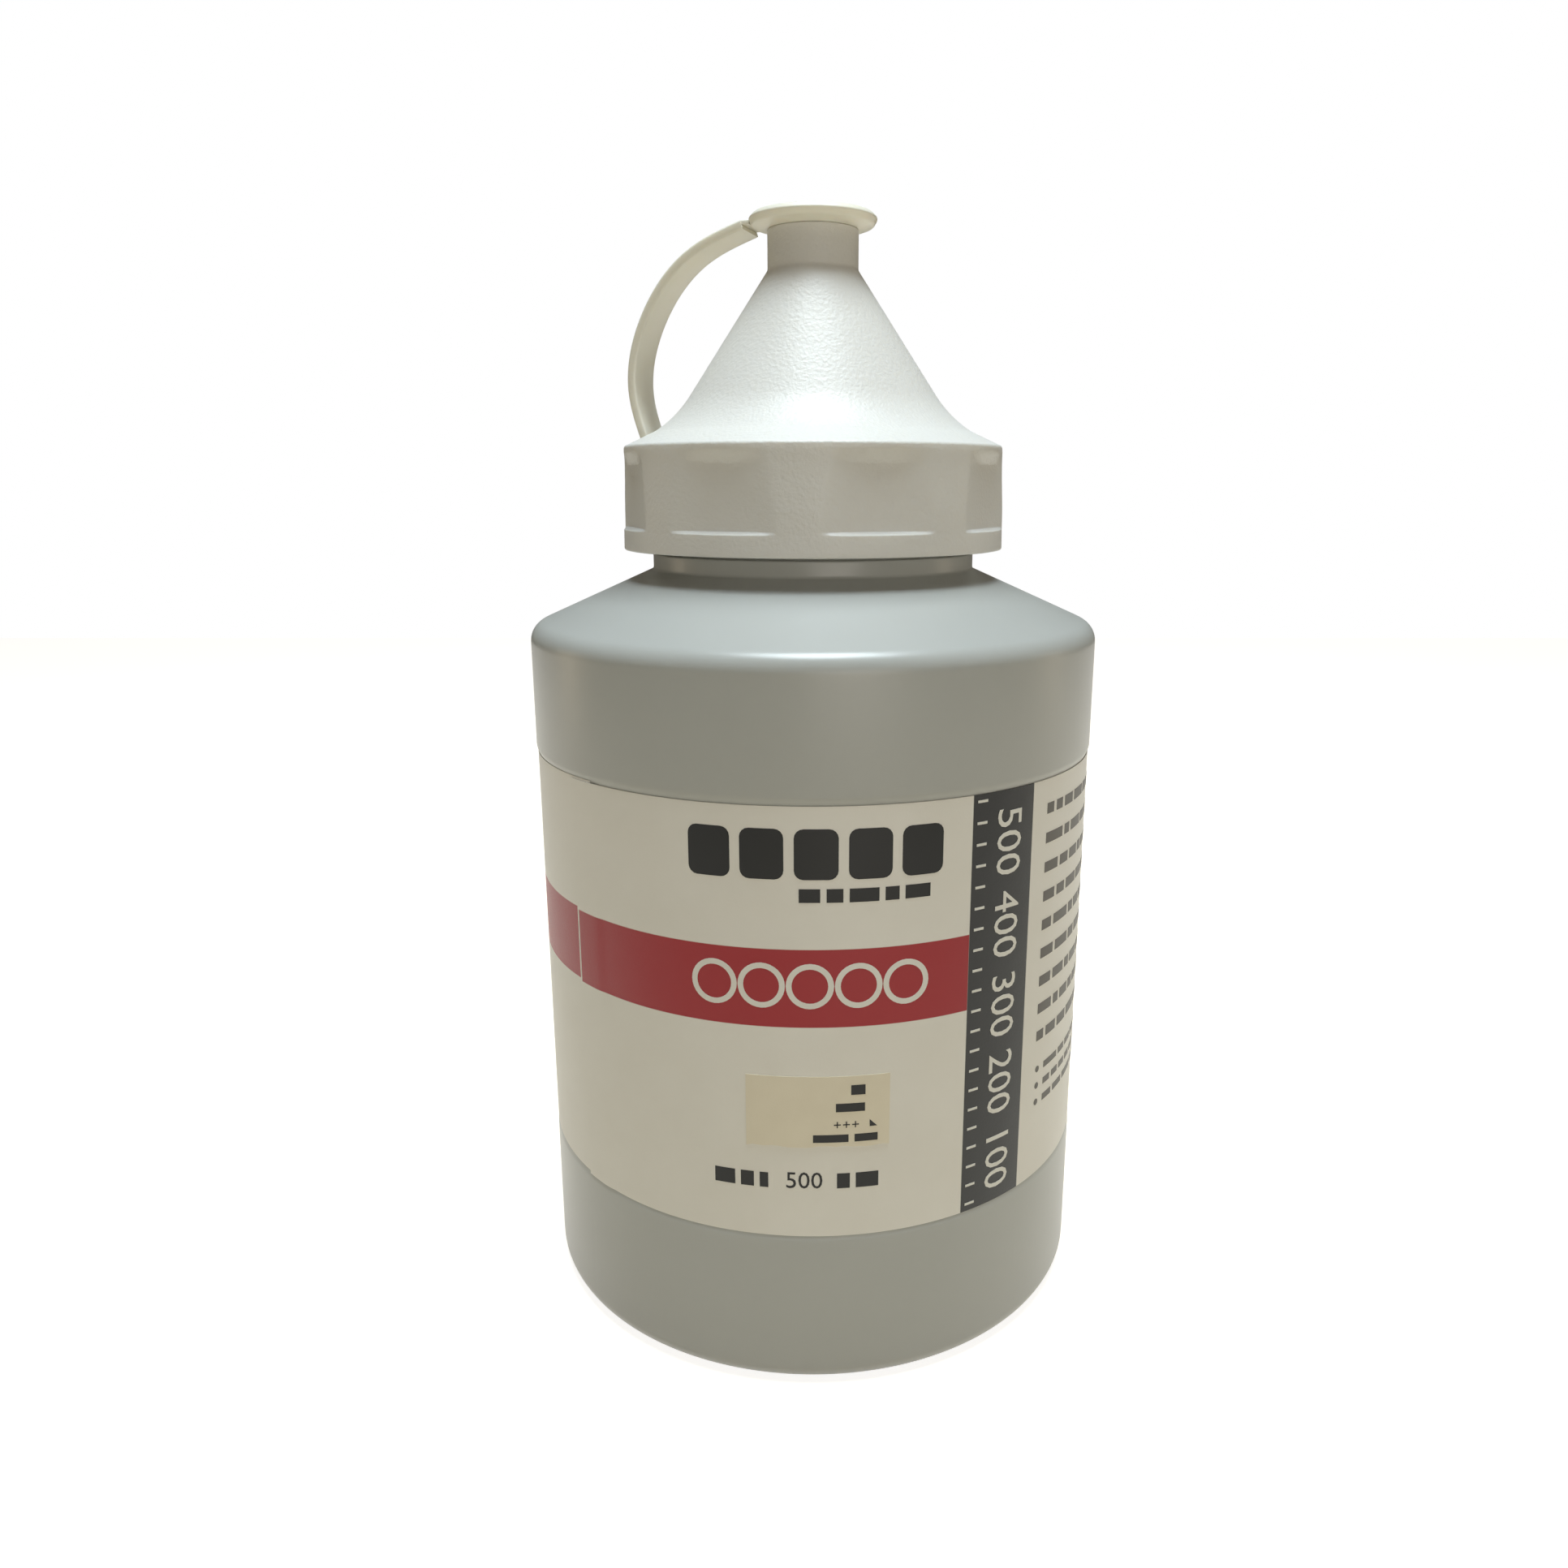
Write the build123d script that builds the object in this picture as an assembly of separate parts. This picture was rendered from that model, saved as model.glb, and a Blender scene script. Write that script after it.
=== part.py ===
from build123d import *
import os
from math import cos, radians, sin, tan

# Paint jar, in millimetres. Z is up, the standing face is at z = 0, and the front faces -Y.

# --- bottle ---
panel_radius = 41.85          # wall under the label
bumper_proud = 0.2            # the band below the label stands out past the panel
shoulder_proud = 0.35         # the band above the label stands out past the panel
bottle_wall = 1.1
base_thickness = 1.6
base_corner = 2.7
push_up = 2.0                 # the base is domed up inside its standing ring
standing_ring_width = 3.0
shoulder_height = 99.55       # centre of the shoulder's rounding
shoulder_round = 3.0
shoulder_angle = 24.0         # slope of the shoulder above horizontal
step_height = 0.8             # run-out of each band's edge

# --- neck ---
neck_radius = 23.3
neck_wall = 1.8
neck_length = 14.4            # from the shoulder to the lip
collar_proud = 0.6
collar_height = 2.3

# --- screw thread ---
thread_pitch = 5.0
thread_turns = 1.2
thread_depth = 1.4
thread_base = 2.0
thread_crest = 1.0
thread_start = 6.3            # lowest turn's centre above the shoulder's top
thread_drop = 2.2             # the cap's ridge runs this far below the bottle's
thread_root = 0.5             # how deep each ridge is rooted in its wall
thread_gap = 0.4              # cap ridge crest to neck wall

# --- label and sticker ---
label_thickness = 0.15
label_low = 23.4
label_gap_above = 16.15        # label's top edge below the shoulder's rounding
sticker_thickness = 0.15
sticker_angle = 0.9           # degrees to the right of the front
sticker_width = 18.9
sticker_height = 10.3
sticker_rise = 13.2           # above the label's lower edge

# --- paint ---
headspace = 1.55               # paint's surface below the shoulder's rounding

# --- cap ---
cap_gap = 0.5                 # cap's lower edge above the neck's collar
skirt_clearance = 0.7         # cap wall past the bottle's thread crest
skirt_low_wall = 2.7
skirt_rim_wall = 2.3
ceiling_thickness = 2.2
gasket_thickness = 1.0
gasket_width = 6.0
gasket_clearance = 0.4
seat_lip = 0.6                # the ceiling reaches this far in past the washer
flat_count = 8
flat_first_angle = 18.5       # degrees to the right of the front
flat_depth = 0.75
flat_low = 2.9                # height of the plain ring below the flats
flat_top = 1.0                # height of the plain band above the flats
rim_round = 0.5

# --- nozzle cone and spout ---
flare_inset = 4.5             # in from the rim
flare_bend = 3.2              # further in to where the flare turns up
flare_rise = 1.9              # above the rim
cone_inset = 9.85             # foot of the straight cone, in from the rim
cone_low_rise = 7.1
spout_radius = 6.5
cone_rise = 24.1              # foot of the spout above the rim
spout_height = 5.4
spout_wall = 1.8
cone_wall = 1.6

# --- lid ---
lid_overhang = 2.7            # past the spout
lid_thickness = 2.1
lid_edge_height = 1.4         # widest line above the lid's underside
lid_bevel = 0.7
plug_clearance = 0.1
plug_length = 3.4
plug_taper = 0.75
plug_core = 2.6
plug_core_depth = 2.6
tab_width = 6.0
tab_thickness = 0.6
hinge_reach = 0.7             # hinge line out past the lid's edge
hinge_gap = 0.05

# --- strap ---
strap_width = 6.6
strap_thickness = 1.3
strap_angle = 18.0            # degrees from -X towards +Y
strap_bulge = 0.6             # furthest point, out past the rim
strap_bulge_rise = 8.2        # above the rim
strap_foot_inset = 1.5        # outer face at the foot, in from the rim
strap_side_inset = 3.0        # points on the curve, in from the bulge and below the hinge
strap_side_drop = 11.2
strap_knee_inset = 9.8
strap_knee_drop = 3.7
foot_inward = 2.6
foot_clearance = 0.05

# --- derived places ---
label_high = shoulder_height - label_gap_above
fill_level = shoulder_height - headspace
sticker_low = label_low + sticker_rise
spout_bore = spout_radius - spout_wall
lid_radius = spout_radius + lid_overhang
band_radius = panel_radius + shoulder_proud
shoulder_drop = shoulder_round * cos(radians(shoulder_angle))
cone_start_radius = band_radius - shoulder_round * (1 - sin(radians(shoulder_angle)))
cone_start_height = shoulder_height + shoulder_drop
collar_radius = neck_radius + collar_proud
neck_low = cone_start_height + (cone_start_radius - collar_radius) * tan(radians(shoulder_angle))
lip_height = neck_low + neck_length
collar_top = neck_low + collar_height
neck_bore = neck_radius - neck_wall
cap_low = collar_top + cap_gap
skirt_bore = neck_radius + thread_depth + skirt_clearance
skirt_low_radius = skirt_bore + skirt_low_wall
skirt_rim_radius = skirt_bore + skirt_rim_wall
flare_radius = skirt_rim_radius - flare_inset
cone_low_radius = skirt_rim_radius - cone_inset
strap_bulge_radius = skirt_rim_radius + strap_bulge
strap_foot_radius = skirt_rim_radius - strap_foot_inset
ceiling = lip_height + gasket_thickness
rim = ceiling + ceiling_thickness
spout_foot = rim + cone_rise
spout_top = spout_foot + spout_height
gasket_outer = skirt_bore - gasket_clearance
gasket_inner = gasket_outer - gasket_width
hinge_radius = lid_radius + hinge_reach
hinge_height = spout_top + lid_edge_height


def revolved(points):
    """A solid of revolution about Z from a closed outline of (radius, height) points."""
    outline = Plane.XZ * make_face(Polyline(*points, close=True))
    return revolve(outline, Axis.Z, 360)


def arc_points(centre_radius, centre_height, radius, start, end, count=7):
    """Points along an arc in the radius-height plane; angles in degrees above horizontal."""
    turns = [radians(start + (end - start) * i / (count - 1)) for i in range(count)]
    return [(centre_radius + radius * cos(t), centre_height + radius * sin(t)) for t in turns]


def helix_ridge(wall_radius, depth, start_height, outward):
    """A screw thread's ridge, rooted in a round wall; outward is 1 on the neck and -1 in the cap."""
    path = Helix(thread_pitch, thread_pitch * thread_turns, wall_radius)
    root = -outward * thread_root
    crest = outward * depth
    root_half = thread_base / 2 + thread_root * (thread_base - thread_crest) / (2 * depth)
    section = Plane(origin=path @ 0, x_dir=(1, 0, 0), z_dir=path % 0)
    outline = Polyline(
        (root, -root_half),
        (crest, -thread_crest / 2),
        (crest, thread_crest / 2),
        (root, root_half),
        close=True,
    )
    ridge = sweep(section * make_face(outline), path, is_frenet=True)
    return Pos(0, 0, start_height) * ridge


def bottle_outline(inset, base_height, ring_radius, dome):
    """The bottle's outline from the axis to the neck, moved inwards by inset."""
    bumper = panel_radius + bumper_proud - inset
    panel = panel_radius - inset
    band = band_radius - inset
    corner = base_corner - inset
    points = [(0, base_height + dome), (ring_radius * 0.8, base_height + dome), (ring_radius, base_height)]
    points += arc_points(bumper - corner, base_height + corner, corner, -90, 0)
    points += [(bumper, label_low - step_height), (panel, label_low)]
    points += [(panel, label_high), (band, label_high + step_height)]
    points += arc_points(band - shoulder_round + inset, shoulder_height, shoulder_round - inset, 0, 90 - shoulder_angle)
    return points


def bottle_inside(top):
    """The space inside the bottle's walls, up to the height top."""
    slope = tan(radians(shoulder_angle))
    ring = panel_radius - base_corner - standing_ring_width
    outline = bottle_outline(bottle_wall, base_thickness, ring, push_up)
    neck_height = outline[-1][1] + (outline[-1][0] - neck_bore) * slope
    outline += [(neck_bore, neck_height), (neck_bore, lip_height + 1), (0, lip_height + 1)]
    space = revolved(outline)
    return space & Pos(0, 0, top / 2) * Cylinder(panel_radius * 2, top)


def jar_body():
    ring = panel_radius - base_corner - standing_ring_width
    outline = bottle_outline(0, 0, ring, push_up)
    outline += [(collar_radius, neck_low), (collar_radius, collar_top), (neck_radius, collar_top)]
    outline += [(neck_radius, lip_height), (0, lip_height)]
    thread = helix_ridge(neck_radius, thread_depth, neck_low + thread_start, 1)
    shell = revolved(outline) - bottle_inside(lip_height + 1)
    return shell + thread


def paint():
    return bottle_inside(fill_level)


def label():
    low = label_low
    outer = Cylinder(panel_radius + label_thickness, label_high - low, align=(Align.CENTER, Align.CENTER, Align.MIN))
    inner = Cylinder(panel_radius, label_high - low, align=(Align.CENTER, Align.CENTER, Align.MIN))
    return Pos(0, 0, low) * (outer - inner)


def colour_sticker():
    height = sticker_height
    face = panel_radius + label_thickness
    outer = Cylinder(face + sticker_thickness, height, align=(Align.CENTER, Align.CENTER, Align.MIN))
    inner = Cylinder(face, height, align=(Align.CENTER, Align.CENTER, Align.MIN))
    window = Pos(0, -face, height / 2) * Box(sticker_width, face, height)
    return Rot(0, 0, sticker_angle) * Pos(0, 0, sticker_low) * ((outer - inner) & window)


def cap_gasket():
    points = [(gasket_inner, lip_height), (gasket_outer, lip_height)]
    points += [(gasket_outer, ceiling), (gasket_inner, ceiling)]
    return revolved(points)


def cap_outline():
    """The cap's outline of revolution: skirt, rim, flared cone and spout outside, then the hollow."""
    cone_low = rim + cone_low_rise
    slope = (cone_rise - cone_low_rise) / (cone_low_radius - spout_radius)
    bend_radius = flare_radius - flare_bend
    bend_height = cone_low - (bend_radius - cone_low_radius) * slope
    outer = [(skirt_bore, cap_low), (skirt_low_radius, cap_low), (skirt_rim_radius, rim - rim_round)]
    outer += arc_points(skirt_rim_radius - rim_round, rim - rim_round, rim_round, 30, 90, 3)
    for i in range(6):
        t = i / 5
        radius = (1 - t) ** 2 * flare_radius + 2 * t * (1 - t) * bend_radius + t ** 2 * cone_low_radius
        height = (1 - t) ** 2 * (rim + flare_rise) + 2 * t * (1 - t) * bend_height + t ** 2 * cone_low
        outer.append((radius, height))
    outer += [(spout_radius, spout_foot), (spout_radius, spout_top)]
    inner = [(spout_bore, spout_top), (spout_bore, spout_foot - cone_wall / 2)]
    inner += [(cone_low_radius - cone_wall, cone_low - cone_wall / 2)]
    inner += [(gasket_inner - seat_lip, rim), (gasket_inner - seat_lip, ceiling)]
    inner += [(skirt_bore, ceiling)]
    return outer + inner


def strap_frame(shape):
    """Turn a shape built in the XZ plane, pointing along +X, to the strap's side of the cap."""
    return Rot(0, 0, 180 - strap_angle) * shape


def strap_foot(clearance):
    """The block that seats the strap in the cap's rim."""
    length = foot_inward + 2 * clearance
    width = strap_width + 2 * clearance
    height = strap_thickness + 2
    middle = strap_foot_radius - foot_inward / 2
    return strap_frame(Pos(middle, 0, rim + height / 2) * Box(length, width, height))


def cap():
    body = revolved(cap_outline())
    flat_height = rim - flat_top - cap_low - flat_low
    flat_face = skirt_rim_radius - flat_depth
    for i in range(flat_count):
        cutter = Box(10, 40, flat_height, align=(Align.MIN, Align.CENTER, Align.MIN))
        turn = flat_first_angle - 90 + i * 360 / flat_count
        body -= Rot(0, 0, turn) * Pos(flat_face, 0, cap_low + flat_low) * cutter
    body += helix_ridge(skirt_bore, skirt_bore - neck_radius - thread_gap, neck_low + thread_start - thread_drop, -1)
    return body - strap_foot(foot_clearance)


def strap():
    tip = (hinge_radius, hinge_height)
    foot = (strap_foot_radius, rim + strap_thickness)
    bulge = (strap_bulge_radius, rim + strap_bulge_rise)
    side = (strap_bulge_radius - strap_side_inset, hinge_height - strap_side_drop)
    knee = (strap_bulge_radius - strap_knee_inset, hinge_height - strap_knee_drop)
    outer = Spline(tip, knee, side, bulge, foot, tangents=[(1, -0.25), (-0.35, -1)])
    count = 24
    outer_points = [outer @ (i / count) for i in range(count + 1)]
    directions = [outer % (i / count) for i in range(count + 1)]
    inner_points = []
    for point, direction in zip(outer_points, directions):
        inner_points.append((point.X + direction.Y * strap_thickness, point.Y - direction.X * strap_thickness))
    inner_points[0] = (hinge_radius, hinge_height - strap_thickness)
    inner = Spline(*inner_points[::3])
    face = make_face([outer, Line(foot, inner_points[-1]), inner, Line(inner_points[0], tip)])
    ribbon = extrude(Plane.XZ * face, amount=strap_width / 2, both=True)
    return strap_frame(ribbon) + strap_foot(0) & Pos(0, 0, rim + 40) * Box(200, 200, 80)


def lid():
    edge = spout_top + lid_edge_height
    top = spout_top + lid_thickness
    plug = spout_bore - plug_clearance
    tip = spout_top - plug_length
    points = [(0, tip + plug_core_depth), (plug_core, tip + plug_core_depth), (plug_core, tip)]
    points += [(plug - plug_taper, tip), (plug, spout_top), (spout_radius + 0.2, spout_top)]
    points += [(lid_radius - 0.5, spout_top + 0.5), (lid_radius, edge), (lid_radius - lid_bevel, top), (0, top)]
    tab_length = hinge_radius - hinge_gap - lid_radius + 1.5
    tab = Box(tab_length, tab_width, tab_thickness, align=(Align.MAX, Align.CENTER, Align.MAX))
    return revolved(points) + strap_frame(Pos(hinge_radius - hinge_gap, 0, hinge_height) * tab)


def export_all():
    os.makedirs("parts", exist_ok=True)
    for make in (jar_body, paint, label, colour_sticker, cap_gasket, cap, strap, lid):
        solid = make()
        export_step(solid, f"parts/{make.__name__}.step")
        print(make.__name__, len(solid.solids()), solid.is_valid, round(solid.volume / 1000, 2), "ml", flush=True)
    print("hinge", round(hinge_radius, 3), round(hinge_height, 3), "rim", rim, "cap_low", cap_low, "lip", lip_height)


export_all()
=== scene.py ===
import math
import random

import bmesh
import bpy
import numpy as np
from mathutils import Matrix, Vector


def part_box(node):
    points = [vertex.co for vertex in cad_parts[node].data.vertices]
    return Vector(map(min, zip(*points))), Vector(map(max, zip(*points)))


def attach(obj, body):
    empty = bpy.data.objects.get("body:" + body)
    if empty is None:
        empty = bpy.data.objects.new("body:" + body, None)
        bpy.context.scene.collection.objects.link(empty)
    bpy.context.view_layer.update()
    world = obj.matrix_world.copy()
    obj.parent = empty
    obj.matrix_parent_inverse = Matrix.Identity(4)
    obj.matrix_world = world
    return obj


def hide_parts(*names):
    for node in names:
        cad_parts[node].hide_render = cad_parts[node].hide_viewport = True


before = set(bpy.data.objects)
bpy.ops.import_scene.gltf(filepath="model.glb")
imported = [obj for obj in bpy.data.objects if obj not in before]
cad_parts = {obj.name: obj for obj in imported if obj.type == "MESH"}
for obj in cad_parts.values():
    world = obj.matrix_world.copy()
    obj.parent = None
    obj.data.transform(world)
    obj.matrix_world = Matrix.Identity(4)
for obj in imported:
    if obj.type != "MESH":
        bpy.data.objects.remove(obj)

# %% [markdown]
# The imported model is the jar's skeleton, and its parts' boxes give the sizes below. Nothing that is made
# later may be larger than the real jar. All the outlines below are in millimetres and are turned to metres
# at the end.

MM = 0.001
FRONT = -math.pi / 2
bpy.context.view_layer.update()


def top_of(node):
    """A node's highest point in millimetres."""
    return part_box(node)[1].z / MM


def foot_of(node):
    """A node's lowest point in millimetres."""
    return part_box(node)[0].z / MM


# %% [markdown]
# Every surface needs its own material, and each is a small tree of nodes. One helper adds a node, sets it and
# links it, and one function turns a hex colour into the linear light values that the renderer uses.

# %% Node helper and colours


def linear(code):
    """A #RRGGBB colour as linear RGBA."""
    values = [int(code[i:i + 2], 16) / 255 for i in (1, 3, 5)]
    return [v / 12.92 if v <= 0.04045 else ((v + 0.055) / 1.055) ** 2.4 for v in values] + [1.0]


def add(tree, kind, inputs=None, **settings):
    """A node with its settings, and inputs that are values or the sockets that feed them."""
    node = tree.nodes.new(kind)
    for key, value in settings.items():
        setattr(node, key, value)
    for key, value in (inputs or {}).items():
        if isinstance(value, bpy.types.NodeSocket):
            tree.links.new(value, node.inputs[key])
        else:
            node.inputs[key].default_value = value
    return node


def plastic(name, pale, deep, rough, mottle, grain, depth, ior=1.5, soft=0.0, scuffs=0.0):
    """A moulded plastic: a slow mottle between two near colours and a fine grain in the surface, in mm."""
    material = bpy.data.materials.new(name)
    material.use_nodes = True
    tree = material.node_tree
    tree.nodes.clear()
    place = add(tree, "ShaderNodeTexCoord").outputs["Object"]
    cloud = add(tree, "ShaderNodeTexNoise", {"Vector": place, "Scale": 1 / (mottle * MM), "Detail": 3.0})
    tint = add(tree, "ShaderNodeMix", {"Factor": cloud.outputs["Fac"], 6: linear(pale), 7: linear(deep)},
               data_type="RGBA")
    fine = add(tree, "ShaderNodeTexNoise", {"Vector": place, "Scale": 1 / (grain * MM), "Detail": 2.0})
    sheen = add(tree, "ShaderNodeMapRange", {"Value": cloud.outputs["Fac"], "To Min": rough - 0.05,
                                             "To Max": rough + 0.06})
    height = fine.outputs["Fac"]
    if scuffs:
        stretched = add(tree, "ShaderNodeMapping", {"Vector": place, "Rotation": (0.3, 0.2, 0.7),
                                                    "Scale": (60.0, 900.0, 25.0)})
        line = add(tree, "ShaderNodeTexNoise", {"Vector": stretched.outputs[0], "Scale": 1.0, "Detail": 1.0})
        mark = add(tree, "ShaderNodeMapRange", {
            "Value": line.outputs["Fac"], "From Min": 0.70, "From Max": 0.76, "To Max": -scuffs})
        height = add(tree, "ShaderNodeMath", {0: height, 1: mark.outputs[0]}, operation="ADD").outputs[0]
    bump = add(tree, "ShaderNodeBump", {"Height": height, "Strength": 1.0, "Distance": depth * MM})
    surface = add(tree, "ShaderNodeBsdfPrincipled", {
        "Base Color": tint.outputs[2], "Roughness": sheen.outputs[0], "Normal": bump.outputs[0], "IOR": ior,
        "Subsurface Weight": soft, "Subsurface Radius": (1.0, 0.9, 0.75), "Subsurface Scale": 1.5 * MM})
    add(tree, "ShaderNodeOutputMaterial", {"Surface": surface.outputs[0]})
    return material


# %% [markdown]
# The bottle is blow-moulded high-density polyethylene: satin, a little waxy, and grey from the metallic paint
# behind its thin wall. Blowing leaves a faint orange peel, and handling leaves hair-thin scuffs. The cap is
# moulded polypropylene, whiter, with the fine spark-eroded grain of its mould. The strap and the lid are a
# softer, ivory polyethylene.

# %% Plastics
bottle_hdpe = plastic("blown_hdpe_satin", "#B7B8B4", "#AEAFAA", 0.32, 40, 1.4, 0.010,
                      ior=1.54, soft=0.15, scuffs=0.5)
cap_pp = plastic("moulded_polypropylene", "#E4E2DD", "#DCD9D2", 0.44, 16, 0.55, 0.08, soft=0.2)
ivory_pe = plastic("moulded_polyethylene_ivory", "#F1EDE0", "#EAE4D2", 0.38, 8, 0.6, 0.004,
                   ior=1.52, soft=0.25)
foam_pe = plastic("foamed_polyethylene", "#F0F0EC", "#E4E4DE", 0.7, 3, 0.25, 0.04)
silver_paint = plastic("silver_acrylic_paint", "#B9BABB", "#9FA0A2", 0.3, 12, 2.5, 0.15)

# %% [markdown]
# Most of the jar was turned about one axis, so most of it is made from an outline that is spun round. A sharp
# corner never catches light, and no moulded corner is sharp, so each corner of an outline is first rounded.
# The spun shell is closed: its outline runs up the outside and back down the inside.

# %% Spinning an outline


def softened(outline, radius, steps=3):
    """The outline with each corner rounded by up to radius."""
    result = []
    count = len(outline)
    for i, (r, z) in enumerate(outline):
        before, after = outline[i - 1], outline[(i + 1) % count]
        if r < 1e-6:
            result.append((r, z))
            continue
        reach = min(radius, 0.45 * math.dist((r, z), before), 0.45 * math.dist((r, z), after))
        start = [p + (q - p) * reach / math.dist((r, z), before) for p, q in zip((r, z), before)]
        end = [p + (q - p) * reach / math.dist((r, z), after) for p, q in zip((r, z), after)]
        for k in range(steps + 1):
            t = k / steps
            result.append(tuple((1 - t) ** 2 * a + 2 * t * (1 - t) * b + t * t * c
                                for a, b, c in zip(start, (r, z), end)))
    return result


def finished(name, bm, material, body, nodes=(), crease=35):
    """Makes a piece from a bmesh in millimetres, outward-facing and smooth, on its body."""
    bmesh.ops.remove_doubles(bm, verts=bm.verts, dist=1e-5)
    bmesh.ops.recalc_face_normals(bm, faces=bm.faces)
    bmesh.ops.scale(bm, vec=(MM, MM, MM), verts=bm.verts)
    mesh = bpy.data.meshes.new(name)
    bm.to_mesh(mesh)
    bm.free()
    mesh.shade_smooth()
    mesh.set_sharp_from_angle(angle=math.radians(crease))
    mesh.materials.append(material)
    piece = bpy.data.objects.new(name, mesh)
    bpy.context.scene.collection.objects.link(piece)
    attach(piece, body)
    if nodes:
        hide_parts(*nodes)
    print(name, len(mesh.polygons), "faces")


def spun(outline, segments=192, shaped=None):
    """A bmesh of a closed outline of (radius, height) spun about Z; shaped moves a point by its angle."""
    bm = bmesh.new()
    rings = []
    for r, z in outline:
        ring = []
        for s in range(1 if r < 1e-6 else segments):
            angle = 2 * math.pi * s / segments
            radius = shaped(r, z, angle) if shaped else r
            ring.append(bm.verts.new((radius * math.cos(angle), radius * math.sin(angle), z)))
        rings.append(ring)
    for i, ring in enumerate(rings):
        following = rings[(i + 1) % len(rings)]
        if len(ring) == 1 and len(following) == 1:
            continue
        for s in range(segments):
            n = (s + 1) % segments
            corners = [ring[s % len(ring)], ring[n % len(ring)], following[n % len(following)],
                       following[s % len(following)]]
            unique = list(dict.fromkeys(corners))
            bm.faces.new(unique)
    return bm


# %% [markdown]
# The bottle: a straight label panel between two bands that stand out a hair, a rounded shoulder, a cone up to
# the neck, a collar that shows under the cap, and a base that is domed up so the jar stands on a ring. Its
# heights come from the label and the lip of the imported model.

# %% Bottle
film = 0.15
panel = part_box("label")[1].x / MM - film
wall, base_wall = 1.1, 1.6
low_band, high_band, band_edge = panel + 0.2, panel + 0.35, 0.8
label_low, label_high = foot_of("label"), top_of("label")
lip = top_of("jar_body")
neck_low, collar_height = lip - 14.4, 2.3
neck, collar, bore = 23.3, 23.9, 21.5
shoulder_high, shoulder_round, shoulder_steep = 99.55, 3.0, 66
base_round, foot_ring = 2.7, 36.15
dome_radius, dome_high = 28.9, 2.0


def arc(centre_r, centre_z, radius, start, end, count=9):
    """Points on an arc; angles in degrees above horizontal."""
    turns = [math.radians(start + (end - start) * i / (count - 1)) for i in range(count)]
    return [(centre_r + radius * math.cos(t), centre_z + radius * math.sin(t)) for t in turns]


outside = [(0, dome_high), (dome_radius, dome_high), (foot_ring, 0.0)]
outside += arc(low_band - base_round, base_round, base_round, -90, 0)
outside += [(low_band, label_low - band_edge), (panel, label_low)]
outside += [(panel, label_high), (high_band, label_high + band_edge)]
outside += arc(high_band - shoulder_round, shoulder_high, shoulder_round, 0, shoulder_steep)
outside += [(collar, neck_low), (collar, neck_low + collar_height)]
outside += [(neck, neck_low + collar_height), (neck, lip)]
inside = [(bore, lip), (bore, neck_low - 0.2)]
inside += arc(high_band - shoulder_round, shoulder_high, shoulder_round - wall, shoulder_steep, 0)
inside += [(high_band - wall, label_high + band_edge), (panel - wall, label_high)]
inside += [(panel - wall, label_low), (low_band - wall, label_low - band_edge)]
inside += arc(low_band - base_round, base_wall + base_round - wall, base_round - wall, 0, -90)
inside += [(foot_ring, base_wall), (dome_radius, dome_high + base_wall), (0, dome_high + base_wall)]
finished("bottle", spun(softened(outside + inside, 0.35)), bottle_hdpe, "jar", ["jar_body"])

# %% [markdown]
# A screw thread is one section carried along a helix, so it is a Geometry Nodes tree: a spiral, and a section
# swept along it. The same tree makes the ridge on the neck and the one inside the cap. Its named inputs are
# the thread's own sizes. The result is turned into a plain mesh, and the modifier is gone before it rides.

# %% Thread tree
thread_pitch, thread_turns = 5.0, 1.2
neck_ridge, cap_ridge = 1.35, 1.65
neck_ridge_start, cap_ridge_start = neck_low + 6.3, neck_low + 4.1
ridge_root, ridge_height, ridge_round = 0.4, 1.5, 0.35

thread_tree = bpy.data.node_groups.new("screw_thread", "GeometryNodeTree")
for title, kind, value in (("Radius", "NodeSocketFloat", neck * MM),
                           ("Pitch", "NodeSocketFloat", thread_pitch * MM),
                           ("Turns", "NodeSocketFloat", thread_turns),
                           ("Depth", "NodeSocketFloat", neck_ridge * MM),
                           ("Start", "NodeSocketFloat", neck_ridge_start * MM),
                           ("Outward", "NodeSocketFloat", 1.0),
                           ("Material", "NodeSocketMaterial", None)):
    item = thread_tree.interface.new_socket(title, in_out="INPUT", socket_type=kind)
    if value is not None:
        item.default_value = value
thread_tree.interface.new_socket("Geometry", in_out="OUTPUT", socket_type="NodeSocketGeometry")
given = add(thread_tree, "NodeGroupInput").outputs
height = add(thread_tree, "ShaderNodeMath", {0: given["Pitch"], 1: given["Turns"]}, operation="MULTIPLY")
half = add(thread_tree, "ShaderNodeMath", {0: given["Depth"], 1: 0.5}, operation="MULTIPLY")
signed = add(thread_tree, "ShaderNodeMath", {0: half.outputs[0], 1: given["Outward"]}, operation="MULTIPLY")
middle = add(thread_tree, "ShaderNodeMath", {0: given["Radius"], 1: signed.outputs[0]}, operation="ADD")
spiral = add(thread_tree, "GeometryNodeCurveSpiral", {
    "Resolution": 96, "Rotations": given["Turns"], "Start Radius": middle.outputs[0],
    "End Radius": middle.outputs[0], "Height": height.outputs[0]})
upright = add(thread_tree, "GeometryNodeSetCurveNormal", {"Curve": spiral.outputs[0]}, mode="Z_UP")
deep = add(thread_tree, "ShaderNodeMath", {0: given["Depth"], 1: ridge_root * MM}, operation="ADD")
section = add(thread_tree, "GeometryNodeCurvePrimitiveQuadrilateral", {
    "Width": deep.outputs[0], "Height": ridge_height * MM})
rounded = add(thread_tree, "GeometryNodeFilletCurve", {
    "Curve": section.outputs[0], "Radius": ridge_round * MM, "Count": 3}, mode="POLY")
swept = add(thread_tree, "GeometryNodeCurveToMesh", {
    "Curve": upright.outputs[0], "Profile Curve": rounded.outputs[0], "Fill Caps": True})
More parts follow.
